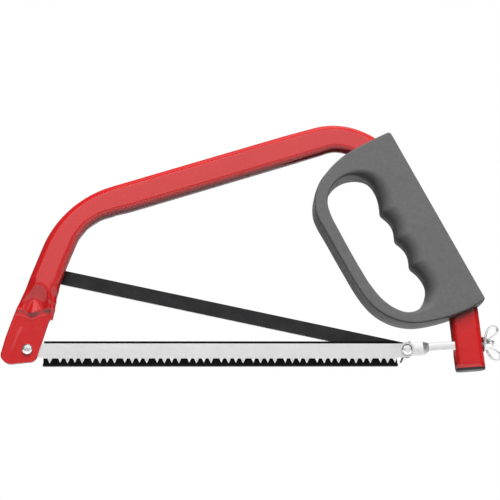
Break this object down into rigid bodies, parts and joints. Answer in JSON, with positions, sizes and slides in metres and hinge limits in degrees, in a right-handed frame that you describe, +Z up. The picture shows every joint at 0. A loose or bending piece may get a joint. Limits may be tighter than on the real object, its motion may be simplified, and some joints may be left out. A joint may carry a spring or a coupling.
{
  "type": "bow saw",
  "caption": "Bow saw with a bent oval-tube frame, closed D handle, toothed wood blade under tension and a stored metal-cutting blade.",
  "frame": {"origin": "middle of the saw's length and height, in the mid-plane of the wood blade", "axes": "+X from the toe towards the handle along the wood blade, +Z up from the teeth towards the top bar, Y across the thickness, -Y being the side with the screw heads"},
  "size_m": [0.4025, 0.024, 0.2116],
  "materials": {
    "red_paint": "gloss stoved enamel over steel tube",
    "grey_plastic": "satin moulded plastic with a fine grain",
    "black_plastic": "smooth black extrusion",
    "blade_steel": "ground bright strip, lengthwise grain",
    "black_steel": "black oxide and lacquer, satin",
    "bright_steel": "bright zinc plate",
    "zinc_steel": "satin zinc plate",
    "dark_zinc": "dark zinc plate"
  },
  "bodies": {
    "frame": {"frame_tube": "red_paint", "tube_end_plug": "black_plastic", "handle_front_shell": "grey_plastic", "handle_rear_shell": "grey_plastic", "handle_screw_1": "zinc_steel", "handle_screw_2": "zinc_steel", "handle_screw_3": "zinc_steel", "handle_screw_4": "zinc_steel", "grip_screw": "zinc_steel", "front_blade_screw": "bright_steel", "front_lock_washer": "zinc_steel", "front_nut": "zinc_steel", "wood_blade": "blade_steel", "tension_washer": "zinc_steel"},
    "guard": {"blade_guard": "black_plastic"},
    "draw_bolt": {"draw_bolt": "bright_steel", "rear_blade_screw": "bright_steel"},
    "tension_nut": {"tension_wing_nut": "bright_steel"},
    "stored_blade": {"metal_blade": "black_steel"},
    "blade_washer": {"rear_washer": "zinc_steel"},
    "blade_nut": {"blade_wing_nut": "dark_zinc"}
  },
  "joints": [
    {"name": "tension_nut_spin", "type": "hinge", "parent": "frame", "child": "tension_nut", "pos_m": [0.1245, 0, -0.0872], "axis": [0.9976, 0, 0.0698], "range_deg": [0, 720]},
    {"name": "draw_slide", "type": "slide", "parent": "frame", "child": "draw_bolt", "axis": [0.9976, 0, 0.0698], "range_m": [-0.002, 0]},
    {"name": "metal_blade_swing", "type": "hinge", "parent": "draw_bolt", "child": "stored_blade", "pos_m": [0.1245, 0.0038, -0.0872], "axis": [0, 1, 0], "range_deg": [-100, 25]},
    {"name": "blade_nut_spin", "type": "hinge", "parent": "blade_washer", "child": "blade_nut", "pos_m": [0.1245, 0.0053, -0.0872], "axis": [0, 1, 0], "range_deg": [0, 720]},
    {"name": "blade_washer_slide", "type": "slide", "parent": "draw_bolt", "child": "blade_washer", "axis": [0, 1, 0], "range_m": [0, 0.0014]},
    {"name": "guard_slide", "type": "slide", "parent": "frame", "child": "guard", "axis": [0, 0, -1], "range_m": [0, 0.04]}
  ],
  "couplings": [
    {"joint": "tension_nut_spin", "follows": "draw_slide", "rad_per_m": -6283.2},
    {"joint": "blade_nut_spin", "follows": "blade_washer_slide", "rad_per_m": 8975.9}
  ]
}
